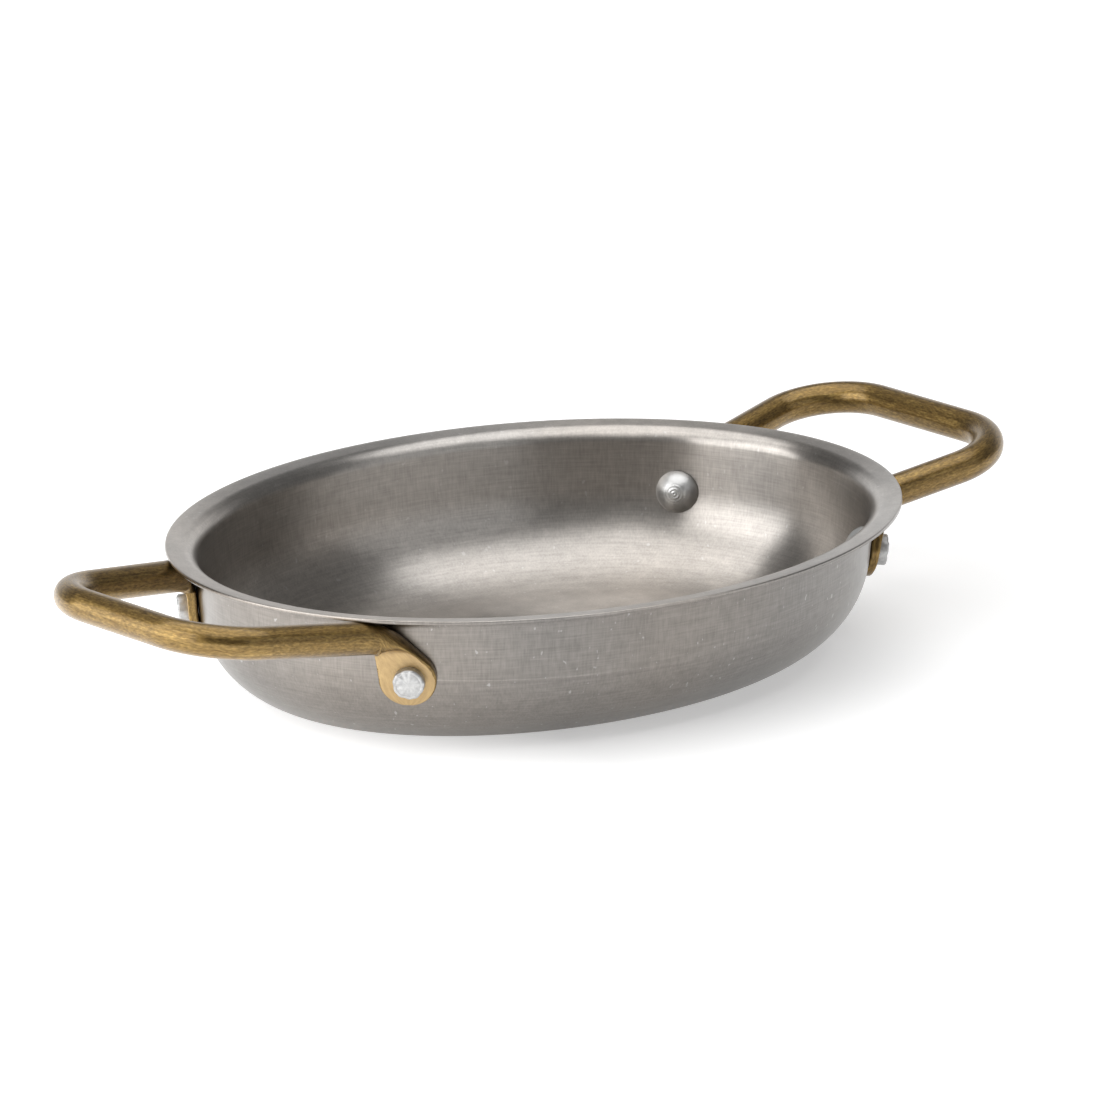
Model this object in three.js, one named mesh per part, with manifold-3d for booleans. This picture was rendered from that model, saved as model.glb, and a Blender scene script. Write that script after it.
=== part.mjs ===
// Oval steel serving dish with two brass loop handles, each held by two solid rivets.
// Millimetres. +Z is up and +X runs along the long axis, through both handles.
// The origin is the middle of the underside, where the dish stands.

import * as THREE from "three";
import { mergeVertices } from "three/addons/utils/BufferGeometryUtils.js";
import Module from "manifold-3d";

const wasm = await Module();
wasm.setup();

// Dish, pressed from one steel sheet
const RIM_LENGTH = 165; // edge to edge of the lip along X
const RIM_WIDTH = 130; // edge to edge of the lip along Y
const DISH_HEIGHT = 31; // underside of the base to the top of the lip
const SHEET = 0.8;
const LIP_WIDTH = 3.4; // flat part of the lip, from its edge to the bend
const LIP_FALL = 6; // degrees that the lip falls towards the bowl
const LIP_BEND_RADIUS = 3.5; // top face of the bend from the lip to the wall
const WALL_DRAFT = 5.6; // degrees that the wall leans out
const BASE_RADIUS = 20; // outer face of the curve from the wall to the base

// Handles, bent from round bar with forged flat ends
const ROD_DIAMETER = 6.7;
const HANDLE_REACH = 27.3; // rim edge to the middle of the grip bar
const HANDLE_RISE = 0.8; // top of the lip up to the middle of the grip bar
const LEFT_GRIP_WIDTH = 49.2; // between the two legs of the left handle, measured at the grip bar
const RIGHT_GRIP_WIDTH = 60.6; // the bars were bent by hand
const GRIP_BEND_RADIUS = 15; // centre line of the two corners of the loop
const LUG_WIDTH = 11.6;
const LUG_THICKNESS = 1.7;
const LUG_DROP = 9.1; // middle of the rod, under the edge of the lip, down to the rivet
const LUG_SLOPE = 44; // degrees that the outer edge of the lug falls from level
const EYE_SHIFT = 0.45; // rivet to the middle of the lug's round eye, toward the leg
const LEG_START = 7.1; // rivet to the end of the round leg, along the wall

// Rivets, round head inside and upset tail outside. The two pairs were set by hand.
const LEFT_RIVET_SPACING = 64.6; // between the two rivets of the left handle, along Y
const RIGHT_RIVET_SPACING = 57;
const SHANK_DIAMETER = 5;
const HEAD_DIAMETER = 8.8;
const HEAD_HEIGHT = 3;
const TAIL_DIAMETER = 6.4;
const TAIL_LENGTH = 1.8;
const TAIL_CHAMFER = 0.4;

const CLEARANCE = 0.3; // between pieces that touch

// Fineness of the faceted surfaces
const DISH_SEGMENTS = 64;
const ARC_STEPS = 3; // an arc of a section has twice as many facets
const ROD_SIDES = 16;
const BEND_STEPS = 10;
const LUG_STEPS = 9;
const EYE_STEPS = 5;
const EYE_TIP = 78; // degrees round the eye where its last ring closes it
const ROUND_SEGMENTS = 24;

// Exponents of a ring's outline: an ellipse, and the lug's flat faces with rounded edges
const ROUND = 2;
const LUG_SQUARENESS = 5;

const STEEL = { color: 0x9a9896, roughness: 0.38, metalness: 1 };
const BRASS = { color: 0x7d6331, roughness: 0.42, metalness: 1 };
const ALUMINIUM = { color: 0xc9c9c7, roughness: 0.4, metalness: 1 };

const degrees = THREE.MathUtils.degToRad;

const rimReach = RIM_LENGTH / 2;
const ovalDifference = (RIM_LENGTH - RIM_WIDTH) / 2;
const rodRadius = ROD_DIAMETER / 2;
const lugRadius = LUG_WIDTH / 2;
const headRadius = HEAD_DIAMETER / 2;
const shankRadius = SHANK_DIAMETER / 2;
const tailRadius = TAIL_DIAMETER / 2;
const gripReach = rimReach + HANDLE_REACH;
const gripHeight = DISH_HEIGHT + HANDLE_RISE;

// Unit vector of a section, at an angle from its +X axis
function heading(angle) {
  return new THREE.Vector2(Math.cos(angle), Math.sin(angle));
}

// Depth of a circle of the given radius below a chord of the given half length
function sagitta(halfChord, radius) {
  return radius - Math.sqrt(radius ** 2 - halfChord ** 2);
}

// Section of the dish along +X. The bend under the lip and the curve into the base have one centre
// each, and both faces of the sheet turn about it.
const draft = degrees(WALL_DRAFT);
const lipUp = degrees(90 + LIP_FALL);
const wallIn = Math.PI - draft;
const wallOut = -draft;
const baseDown = degrees(-90);
const lipEdgeTop = new THREE.Vector2(rimReach - SHEET * Math.sin(degrees(LIP_FALL)), DISH_HEIGHT);
const lipEdgeBottom = lipEdgeTop.clone().addScaledVector(heading(lipUp), -SHEET);
const lipBendCentre = lipEdgeTop
  .clone()
  .addScaledVector(heading(degrees(180 + LIP_FALL)), LIP_WIDTH)
  .addScaledVector(heading(lipUp), -LIP_BEND_RADIUS);
const wallDistance = lipBendCentre.dot(heading(wallOut)) - LIP_BEND_RADIUS + SHEET;
const baseReach = (wallDistance - BASE_RADIUS + BASE_RADIUS * Math.sin(draft)) / Math.cos(draft);

// Outer face of the wall at a height: its reach along +X, and its lean from vertical
function wallAt(height) {
  const straightFrom = BASE_RADIUS * (1 - Math.sin(draft));
  if (height >= straightFrom) {
    return { reach: (wallDistance + height * Math.sin(draft)) / Math.cos(draft), lean: draft };
  }
  const lean = Math.asin(1 - height / BASE_RADIUS);
  return { reach: baseReach + BASE_RADIUS * Math.cos(lean), lean };
}

// The leg of a loop runs from the grip down to the wall, just under the edge of the lip, and the
// rivet sits below it. This is the seat of the rivet on the outer face of the wall, with the
// directions out of the wall, along it and up it, on the quarter with +X and +Y.
function rivetSeat(spacing) {
  const side = spacing / 2;
  const lipReach = rimReach * Math.sqrt(1 - (spacing / RIM_WIDTH) ** 2);
  const toLip = new THREE.Vector2(gripReach - lipReach, gripHeight - lipEdgeBottom.y);
  const legTilt = toLip.angle() + Math.asin((rodRadius + CLEARANCE) / toLip.length());
  const rodHeight = gripHeight - toLip.x * Math.tan(legTilt);

  const height = rodHeight - LUG_DROP;
  const { reach, lean } = wallAt(height);
  const reachY = reach - ovalDifference;
  const point = new THREE.Vector3(reach * Math.sqrt(1 - (side / reachY) ** 2), side, height);
  const out = new THREE.Vector3(point.x / reach ** 2, point.y / reachY ** 2, 0)
    .normalize()
    .multiplyScalar(Math.cos(lean))
    .setZ(-Math.sin(lean));
  const along = new THREE.Vector3(-out.y, out.x, 0).normalize();
  const up = new THREE.Vector3().crossVectors(out, along);

  // How far the wall falls back from its tangent at the rivet, a distance up the wall
  const fallBack = (rise) => {
    const level = height + rise * Math.cos(lean);
    return (reach + (level - height) * Math.tan(lean) - wallAt(level).reach) * Math.cos(lean);
  };
  return { point, out, along, up, fallBack, legTilt };
}

// A point on the wall by its distances along it, up it and out of it from the rivet
function onWall(seat, along, up, out) {
  return seat.point
    .clone()
    .addScaledVector(seat.along, along)
    .addScaledVector(seat.up, up)
    .addScaledVector(seat.out, out);
}

// How far the middle of the rod stands out of the wall where the leg, which runs along X, meets it
function rodStand(seat) {
  return CLEARANCE + rodRadius * seat.out.y;
}

// A closed geometry as a solid that can be joined and cut
function solidOf(geometry) {
  const bare = geometry.clone();
  bare.deleteAttribute("normal");
  bare.deleteAttribute("uv");
  const merged = mergeVertices(bare);
  const vertProperties = new Float32Array(merged.attributes.position.array);
  const triVerts = new Uint32Array(merged.index.array);
  return new wasm.Manifold(new wasm.Mesh({ numProp: 3, vertProperties, triVerts }));
}

function geometryOf(solid) {
  const mesh = solid.getMesh();
  const geometry = new THREE.BufferGeometry();
  geometry.setAttribute("position", new THREE.BufferAttribute(mesh.vertProperties, 3));
  geometry.setIndex(new THREE.BufferAttribute(mesh.triVerts, 1));
  geometry.computeVertexNormals();
  return geometry;
}

// A round cutter through the wall and the lug at a rivet, on the quarter given by two signs
function rivetHole(seat, signX, signY) {
  const radius = shankRadius + CLEARANCE;
  const length = 2 * (LUG_THICKNESS + SHEET + 4 * CLEARANCE);
  const quarter = new THREE.Vector3(signX, signY, 1);
  const axis = seat.out.clone().multiply(quarter);
  const place = seat.point.clone().multiply(quarter);
  const turn = new THREE.Quaternion().setFromUnitVectors(new THREE.Vector3(0, 1, 0), axis);
  const cutter = new THREE.CylinderGeometry(radius, radius, length, ROUND_SEGMENTS);
  return solidOf(cutter.applyQuaternion(turn).translate(place.x, place.y, place.z));
}

// The dish is turned from its section and then drawn out to an oval whose wall keeps one width all
// round, with a flat base that shrinks evenly to the middle
function dishGeometry(handles) {
  const section = new THREE.Path();
  section.moveTo(0, 0);
  section.lineTo(baseReach, 0);
  section.absarc(baseReach, BASE_RADIUS, BASE_RADIUS, baseDown, wallOut, false);
  section.absarc(lipBendCentre.x, lipBendCentre.y, LIP_BEND_RADIUS - SHEET, wallIn, lipUp, true);
  section.lineTo(lipEdgeBottom.x, lipEdgeBottom.y);
  section.lineTo(lipEdgeTop.x, lipEdgeTop.y);
  section.absarc(lipBendCentre.x, lipBendCentre.y, LIP_BEND_RADIUS, lipUp, wallIn, false);
  section.absarc(baseReach, BASE_RADIUS, BASE_RADIUS - SHEET, wallOut, baseDown, true);
  section.lineTo(0, SHEET);
  const turned = new THREE.LatheGeometry(section.getPoints(ARC_STEPS), DISH_SEGMENTS);
  turned.rotateX(degrees(90));

  const places = turned.attributes.position;
  for (let i = 0; i < places.count; i++) {
    const reach = Math.hypot(places.getX(i), places.getY(i));
    const shrink = ovalDifference / Math.max(reach, baseReach);
    places.setY(i, places.getY(i) * (1 - shrink));
  }
  let solid = solidOf(turned);
  for (const { seat, signX } of handles) {
    solid = solid.subtract(rivetHole(seat, signX, 1)).subtract(rivetHole(seat, signX, -1));
  }
  return geometryOf(solid);
}

// A ring of points round a centre, between an ellipse and a rounded oblong
function ring(centre, across, through, width, thickness, squareness) {
  const bulge = (part) => Math.sign(part) * Math.abs(part) ** (2 / squareness);
  const points = [];
  for (let i = 0; i < ROD_SIDES; i++) {
    const angle = (2 * Math.PI * i) / ROD_SIDES;
    const point = centre
      .clone()
      .addScaledVector(across, (bulge(Math.cos(angle)) * width) / 2)
      .addScaledVector(through, (bulge(Math.sin(angle)) * thickness) / 2);
    points.push(point);
  }
  return points;
}

// One closed surface through a row of rings, with a flat cap on the first and the last
function loft(rings) {
  const faces = [];
  for (let r = 0; r + 1 < rings.length; r++) {
    for (let i = 0; i < ROD_SIDES; i++) {
      const here = r * ROD_SIDES + i;
      const next = r * ROD_SIDES + ((i + 1) % ROD_SIDES);
      faces.push(here, here + ROD_SIDES, next);
      faces.push(next, here + ROD_SIDES, next + ROD_SIDES);
    }
  }
  const last = (rings.length - 1) * ROD_SIDES;
  for (let i = 1; i + 1 < ROD_SIDES; i++) {
    faces.push(0, i, i + 1);
    faces.push(last, last + i + 1, last + i);
  }
  const geometry = new THREE.BufferGeometry().setFromPoints(rings.flat());
  geometry.setIndex(faces);
  return geometry;
}

// Rings of one forged end, from the tip of its eye up to the round rod. They lie between an inner and
// an outer edge drawn on the wall, with the rivet at the origin, +X along the wall and +Y up it.
// The flat follows the curve of the wall. Past the rivet's tail it thickens, and turns from the
// wall's outward direction to the rod's.
function lugRings(seat, rodRise, rodThrough) {
  const rodTop = rodRise + rodRadius;
  const rodBottom = rodRise - rodRadius;
  const slopeOut = heading(degrees(90 - LUG_SLOPE));
  const slopeTop = (lugRadius - rodTop * slopeOut.y) / slopeOut.x - EYE_SHIFT;

  const inner = new THREE.Path();
  inner.moveTo(-lugRadius - EYE_SHIFT, 0);
  inner.lineTo(-LEG_START, rodBottom);
  const outer = new THREE.Path();
  outer.absarc(-EYE_SHIFT, 0, lugRadius, 0, slopeOut.angle(), false);
  outer.quadraticCurveTo(slopeTop, rodTop, -LEG_START, rodTop);

  const edges = [];
  for (let i = 0; i < EYE_STEPS; i++) {
    const angle = degrees(EYE_TIP) * (1 - i / EYE_STEPS);
    const half = lugRadius * Math.cos(angle);
    const level = -lugRadius * Math.sin(angle);
    edges.push([new THREE.Vector2(-half - EYE_SHIFT, level), new THREE.Vector2(half - EYE_SHIFT, level)]);
  }
  for (let i = 0; i <= LUG_STEPS; i++) {
    edges.push([inner.getPointAt(i / LUG_STEPS), outer.getPointAt(i / LUG_STEPS)]);
  }

  return edges.map(([from, to]) => {
    const middle = from.clone().lerp(to, 0.5);
    const span = to.clone().sub(from);
    const width = span.length();
    span.normalize();
    const pastRivet = span.cross(from);
    const ease = THREE.MathUtils.smoothstep(pastRivet, tailRadius + CLEARANCE, LEG_START);
    const thickness = THREE.MathUtils.lerp(LUG_THICKNESS, ROD_DIAMETER, ease);
    const squareness = THREE.MathUtils.lerp(LUG_SQUARENESS, ROUND, ease);
    const across = seat.along.clone().multiplyScalar(span.x).addScaledVector(seat.up, span.y);
    const through = seat.out.clone().lerp(rodThrough, ease).normalize();
    const flatStand = CLEARANCE + LUG_THICKNESS / 2 - seat.fallBack(middle.y);
    const stand = THREE.MathUtils.lerp(flatStand, rodStand(seat), ease);
    const centre = onWall(seat, middle.x, middle.y, stand);
    return ring(centre, across, through, width, thickness, squareness);
  });
}

// A handle is one bar: a lug, a leg, the grip between two round corners, and the other leg and lug
function handleGeometry(seat, gripWidth) {
  const gripCorner = new THREE.Vector3(gripReach, gripWidth / 2, gripHeight);
  const climb = new THREE.Vector3(Math.cos(seat.legTilt), 0, Math.sin(seat.legTilt));
  const loopUp = new THREE.Vector3(-climb.z, 0, climb.x);

  // The leg starts beside the rivet, where the plane of the loop crosses the line up the wall
  const legFoot = onWall(seat, -LEG_START, 0, rodStand(seat));
  const rodRise = gripCorner.clone().sub(legFoot).dot(loopUp) / seat.up.dot(loopUp);
  const legStart = legFoot.clone().addScaledVector(seat.up, rodRise);
  const depth = gripCorner.clone().sub(legStart).dot(climb);

  // Corner of the loop in its own plane, as distance out along the climb and distance along Y
  const cornerTurn = degrees(90) - Math.atan2(legStart.y - gripCorner.y, depth);
  const trim = GRIP_BEND_RADIUS * Math.tan(cornerTurn / 2);
  const bendCentre = new THREE.Vector2(depth - GRIP_BEND_RADIUS, gripCorner.y - trim);
  const throughAt = (angle) => climb.clone().multiplyScalar(Math.cos(angle)).setY(Math.sin(angle));

  const halfRings = lugRings(seat, rodRise, throughAt(cornerTurn));
  for (let i = 0; i <= BEND_STEPS; i++) {
    const angle = cornerTurn * (1 - i / BEND_STEPS);
    const through = throughAt(angle);
    const centre = new THREE.Vector3(legStart.x, bendCentre.y, legStart.z)
      .addScaledVector(climb, bendCentre.x)
      .addScaledVector(through, GRIP_BEND_RADIUS);
    halfRings.push(ring(centre, loopUp, through, ROD_DIAMETER, ROD_DIAMETER, ROUND));
  }
  const mirrored = halfRings.map((points) => points.map((point) => point.clone().setY(-point.y)));
  const solid = solidOf(loft([...halfRings, ...mirrored.reverse()]))
    .subtract(rivetHole(seat, 1, 1))
    .subtract(rivetHole(seat, 1, -1));
  return geometryOf(solid);
}

// A rivet about its own axis: +Z points out of the dish and z = 0 is the outer face of the wall.
// The head stands clear of the curve of the wall under its edge.
function rivetGeometry() {
  const seat = -SHEET - CLEARANCE - sagitta(headRadius, BASE_RADIUS - SHEET);
  const tailFoot = LUG_THICKNESS + 2 * CLEARANCE;
  const tailEnd = tailFoot + TAIL_LENGTH;
  const domeRadius = (headRadius ** 2 + HEAD_HEIGHT ** 2) / (2 * HEAD_HEIGHT);
  const domeCentre = seat - HEAD_HEIGHT + domeRadius;
  const domeEdge = Math.atan2(seat - domeCentre, headRadius);

  const dome = new THREE.Path().absarc(0, domeCentre, domeRadius, baseDown, domeEdge, false);
  const section = [
    new THREE.Vector2(0, seat - HEAD_HEIGHT),
    ...dome.getPoints(ARC_STEPS).slice(1),
    new THREE.Vector2(shankRadius, seat),
    new THREE.Vector2(shankRadius, tailFoot),
    new THREE.Vector2(tailRadius, tailFoot),
    new THREE.Vector2(tailRadius, tailEnd - TAIL_CHAMFER),
    new THREE.Vector2(tailRadius - TAIL_CHAMFER, tailEnd),
    new THREE.Vector2(0, tailEnd),
  ];
  return new THREE.LatheGeometry(section, ROUND_SEGMENTS).rotateX(degrees(90));
}

const servingDish = new THREE.Group();

function addPiece(name, geometry, finish) {
  const mesh = new THREE.Mesh(geometry, new THREE.MeshStandardMaterial(finish));
  mesh.name = name;
  servingDish.add(mesh);
  return mesh;
}

const handles = [
  { name: "left", signX: -1, seat: rivetSeat(LEFT_RIVET_SPACING), gripWidth: LEFT_GRIP_WIDTH },
  { name: "right", signX: 1, seat: rivetSeat(RIGHT_RIVET_SPACING), gripWidth: RIGHT_GRIP_WIDTH },
];

addPiece("dish", dishGeometry(handles), STEEL);

for (const { name, signX, seat, gripWidth } of handles) {
  const handle = addPiece(`${name}_handle`, handleGeometry(seat, gripWidth), BRASS);
  handle.rotation.z = signX < 0 ? Math.PI : 0;

  for (const [face, signY] of [["front", -1], ["back", 1]]) {
    const quarter = new THREE.Vector3(signX, signY, 1);
    const axis = seat.out.clone().multiply(quarter);
    const rivet = addPiece(`${face}_${name}_rivet`, rivetGeometry(), ALUMINIUM);
    rivet.position.copy(seat.point).multiply(quarter);
    rivet.quaternion.setFromUnitVectors(new THREE.Vector3(0, 0, 1), axis);
  }
}

export default servingDish;
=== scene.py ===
import math
from types import SimpleNamespace

import bpy
import numpy as np
from mathutils import Matrix, Vector


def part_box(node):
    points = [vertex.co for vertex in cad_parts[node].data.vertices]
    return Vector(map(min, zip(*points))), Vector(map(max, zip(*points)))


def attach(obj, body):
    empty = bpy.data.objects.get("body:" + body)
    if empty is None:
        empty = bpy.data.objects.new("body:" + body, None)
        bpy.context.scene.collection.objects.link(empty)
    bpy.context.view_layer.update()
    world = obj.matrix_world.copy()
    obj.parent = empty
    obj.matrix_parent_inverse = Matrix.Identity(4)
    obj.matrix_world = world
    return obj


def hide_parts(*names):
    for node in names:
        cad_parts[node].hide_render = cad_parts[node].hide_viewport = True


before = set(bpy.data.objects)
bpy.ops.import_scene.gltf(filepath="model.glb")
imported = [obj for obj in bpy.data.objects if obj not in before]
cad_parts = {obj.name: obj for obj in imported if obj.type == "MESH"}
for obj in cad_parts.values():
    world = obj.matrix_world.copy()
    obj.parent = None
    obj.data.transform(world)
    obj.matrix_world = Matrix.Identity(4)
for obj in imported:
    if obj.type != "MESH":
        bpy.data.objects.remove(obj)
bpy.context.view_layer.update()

MM = 0.001

# Sizes in millimetres and angles in degrees. The outer sizes of the dish come from the frame.
dish_low, dish_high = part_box("dish")
RIM_LENGTH, RIM_WIDTH, DISH_HEIGHT = (dish_high - dish_low) / MM
SHEET = 0.8
LIP_WIDTH = 3.4
LIP_FALL = 6
LIP_BEND_RADIUS = 3.5
LIP_EDGE_RADIUS = 0.25
WALL_DRAFT = 5.6
BASE_RADIUS = 20
BRUSHED_LINE = 24  # along the middle of the base, about which the brushing runs

# A faint ridge that the press left on the outer face, with a groove under it
PRESS_LINE_LEVEL = 16.5
PRESS_LINE_WIDTH = 0.8
PRESS_LINE_HEIGHT = 0.1
PRESS_LINE_TILT = 1.5
PRESS_GROOVE = 0.4  # depth of the groove, as part of the ridge's height
PRESS_LINE_SIDE = -128  # degrees round the oval where the ridge is plainest
PRESS_LINE_FADE = 16  # power of the cosine with which it fades to either side
PRESS_LINE_ROWS = (-1.9, 1.1)  # where the mesh is fine, from the level of the ridge

# Handles
ROD_DIAMETER = 6.7
HANDLE_REACH = 27.3
HANDLE_RISE = 0.8
LEFT_GRIP_WIDTH = 49.2
RIGHT_GRIP_WIDTH = 60.6
GRIP_BEND_RADIUS = 15
LUG_WIDTH = 11.6
LUG_FACE = 2.0  # from the wall to the front of the lug
LUG_EDGE_RADIUS = 0.15
LUG_SQUARENESS = 10  # exponent of the lug's section
LUG_SIDE = 18  # degrees of a ring that lie on the lug's edge, from its middle to a face
LUG_DROP = 9.1
LUG_SLOPE = 44
EYE_SHIFT = 0.45  # rivet to the middle of the lug's round eye, toward the leg
EYE_TIP = 88.5  # degrees round the eye where its first ring lies
EYE_WAY = 0.3  # part of the way from the rivet to the rod that runs round the eye
LEG_START = 7.1  # rivet to the end of the round leg, along the wall
LUG_BEND = 2.2  # spread of the bend from the leg to the lug
LEAST_SPREAD = 0.05  # of the bend, where its rounding ends
BEND_REACH = 2.5  # distance over which the spread falls off, in spreads
BEND_INNER_SHARE = 0.1  # part of the rounding that the inner side of the bend gets
CLEARANCE = 0.3

# A rounded ridge on the outer edge of a lug grows into the rod: way from the rivet to the rod, the part
# of the lug's width that the ridge covers there, and its height above the lug's face
RIDGE_WAY = [0, 0.1, 0.2, 0.3, 0.4, 0.45, 0.5, 0.6, 0.7, 0.8, 0.9, 1]
RIDGE_COVER = [0.02, 0.035, 0.05, 0.065, 0.09, 0.13, 0.27, 0.564, 0.74, 0.858, 0.951, 1]
RIDGE_LIFT = [0.05, 0.2, 0.4, 0.7, 1.2, 1.6, 2.1, 2.9, 3.4, 3.7, 3.8, 3.8]
RIDGE_START = 0.05  # way over which the ridge begins
RIDGE_LEAST_WIDTH = 0.01
RIDGE_FOOT = (0.05, 0.7)  # distances from the ridge over which the rod's form ends
ROD_WAY = (0.55, 1.0)  # way over which the lug's section turns into the rod's

# The bare face of a lug: how far it runs past the inner edge, the part of the half thickness where it
# starts, and how steeply it ends there
BARE_SPILL = 0.2
BARE_FACE = 0.85
BARE_STEEPNESS = 4

# Rivets
LEFT_RIVET_SPACING = 64.6
RIGHT_RIVET_SPACING = 57
SHANK_DIAMETER = 5
HEAD_DIAMETER = 8.8
HEAD_HEIGHT = 3.4
HEAD_EDGE = 0.35  # height of the straight edge round the head
HEAD_GAP = 0.35  # between the wall and the head
TURNED_RING_SPACING = 0.68
TURNED_RING_HEIGHT = 0.04
TURNED_CROWN = (1.5, 2.5)  # distances from the axis over which the rings fade
TAIL_DIAMETER = 6.4
TAIL_LENGTH = 2.1
TAIL_EDGE_RADIUS = 0.5
TAIL_FOOT = (0.1, 0.4)  # how much the tail narrows down to the lug, and over which height
TAIL_FACE = [(0.8, 0), (0.77, -0.05), (0.74, 0), (0.45, 0.06), (0, 0.08)]  # part of the radius, and rise
TAIL_UNEVENNESS = 0.02  # of its radius
TAIL_DENTS = [(5, 1, 1), (11, 0, 0.7)]  # waves round the tail, their shift in radians, and their share
SHARP_EDGE = 50  # angle between faces from which their edge shades sharp

# Fineness of the meshes
DISH_SEGMENTS = 320
BASE_FLAT_STEPS = 10
OUTER_BASE_STEPS = (26, 32, 3)  # below the press line, across it and above it
INNER_BASE_STEPS = 28
WALL_STEPS = 5
OUTER_BEND_STEPS = 10
INNER_BEND_STEPS = 14
LIP_STEPS = 3
LIP_EDGE_STEPS = 4
ROD_SIDES = 80
EYE_RINGS = 25
LUG_RINGS = 70
LEG_RINGS = 24
LEG_CROWDING = 1.6  # power that draws the leg's rings toward the lug
GRIP_BEND_RINGS = 28
GRIP_RINGS = 8
RIVET_SEGMENTS = 96
DOME_STEPS = 60
TAIL_EDGE_STEPS = 6

rim_reach = RIM_LENGTH / 2
oval_difference = (RIM_LENGTH - RIM_WIDTH) / 2
rod_radius = ROD_DIAMETER / 2
lug_radius = LUG_WIDTH / 2
grip_reach = rim_reach + HANDLE_REACH
grip_height = DISH_HEIGHT + HANDLE_RISE


def heading(angle):
    return np.array([math.cos(angle), math.sin(angle)])


def unit(vector):
    return vector / np.linalg.norm(vector)


def smoothstep(value, low, high):
    share = np.clip((value - low) / (high - low), 0, 1)
    return share * share * (3 - 2 * share)


def line(start, end, steps):
    """Points from start up to, but not including, end."""
    return [start + (end - start) * i / steps for i in range(steps)]


def arc(centre, radius, start, end, steps):
    """Points on a circle from one angle to another, both included."""
    return [centre + radius * heading(start + (end - start) * i / steps) for i in range(steps + 1)]


# Section of the dish along +X
draft = math.radians(WALL_DRAFT)
lip_out = math.radians(LIP_FALL)
lip_up = math.radians(90 + LIP_FALL)
wall_in = math.pi - draft
wall_out = -draft
base_down = math.radians(-90)
lip_edge_top = np.array([rim_reach - SHEET * math.sin(lip_out), DISH_HEIGHT])
lip_edge_bottom = lip_edge_top - SHEET * heading(lip_up)
lip_bend_centre = lip_edge_top - LIP_WIDTH * heading(lip_out) - LIP_BEND_RADIUS * heading(lip_up)
wall_distance = lip_bend_centre @ heading(wall_out) - LIP_BEND_RADIUS + SHEET
base_reach = (wall_distance - BASE_RADIUS + BASE_RADIUS * math.sin(draft)) / math.cos(draft)
base_centre = np.array([base_reach, BASE_RADIUS])


def wall_at(height):
    """Reach of the wall's outer face along +X at a height, and its lean from vertical."""
    if height >= BASE_RADIUS * (1 - math.sin(draft)):
        return (wall_distance + height * math.sin(draft)) / math.cos(draft), draft
    lean = math.asin(1 - height / BASE_RADIUS)
    return base_reach + BASE_RADIUS * math.cos(lean), lean


def rivet_seat(spacing):
    """Where a rivet passes the outer face of the wall, on the quarter with +X and +Y."""
    side = spacing / 2
    lip_reach = rim_reach * math.sqrt(1 - (spacing / RIM_WIDTH) ** 2)
    to_lip = np.array([grip_reach - lip_reach, grip_height - lip_edge_bottom[1]])
    past_lip = math.asin((rod_radius + CLEARANCE) / np.linalg.norm(to_lip))
    leg_tilt = math.atan2(to_lip[1], to_lip[0]) + past_lip
    height = grip_height - to_lip[0] * math.tan(leg_tilt) - LUG_DROP
    reach, lean = wall_at(height)
    reach_y = reach - oval_difference
    point = np.array([reach * math.sqrt(1 - (side / reach_y) ** 2), side, height])
    level_out = unit(np.array([point[0] / reach**2, point[1] / reach_y**2, 0]))
    out = level_out * math.cos(lean) - np.array([0, 0, math.sin(lean)])
    along = unit(np.array([-out[1], out[0], 0]))
    return SimpleNamespace(
        point=point, out=out, along=along, up=np.cross(out, along), lean=lean, reach=reach, leg_tilt=leg_tilt
    )


def fall_back(seat, rise):
    """How far the wall falls back from its tangent at the rivet, a distance up the wall."""
    level = seat.point[2] + rise * math.cos(seat.lean)
    tangent = seat.reach + (level - seat.point[2]) * math.tan(seat.lean)
    return (tangent - wall_at(level)[0]) * math.cos(seat.lean)


# Meshes
def add_piece(name, vertices, faces, material, node):
    """A smooth mesh in millimetres that stands for a node of the frame."""
    mesh = bpy.data.meshes.new(name)
    mesh.from_pydata((np.array(vertices) * MM).tolist(), [], faces)
    mesh.validate()
    mesh.shade_smooth()
    mesh.materials.append(material)
    piece = bpy.data.objects.new(name, mesh)
    bpy.context.scene.collection.objects.link(piece)
    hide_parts(node)
    return piece


def add_attribute(piece, name, kind, field, values):
    """Values for each vertex of a piece, for its material to read."""
    attribute = piece.data.attributes.new(name, kind, "POINT")
    attribute.data.foreach_set(field, np.asarray(values, dtype=np.float32).ravel())


def turned_faces(rows, segments):
    """Faces of a turned surface whose first and last rows are single points on the axis."""
    last = 1 + (rows - 2) * segments
    faces = []
    for i in range(segments):
        j = (i + 1) % segments
        faces.append((0, 1 + j, 1 + i))
        for r in range(rows - 3):
            low = 1 + r * segments
            faces.append((low + i, low + j, low + segments + j, low + segments + i))
        top = last - segments
        faces.append((top + i, top + j, last))
    return faces


def press_ridge(height, angle):
    """How far the outer face stands out at a place, as part of the press line's height."""
    aside = angle - math.radians(PRESS_LINE_SIDE)
    level = PRESS_LINE_LEVEL - PRESS_LINE_TILT * math.sin(aside)
    steps = [min(abs(height - z) / (PRESS_LINE_WIDTH / 2), 1) for z in (level, level - PRESS_LINE_WIDTH)]
    ridge, groove = [(1 + math.cos(math.pi * step)) / 2 for step in steps]
    plain = max(math.cos(aside), 0) ** PRESS_LINE_FADE
    return plain * (ridge - PRESS_GROOVE * groove)


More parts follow.
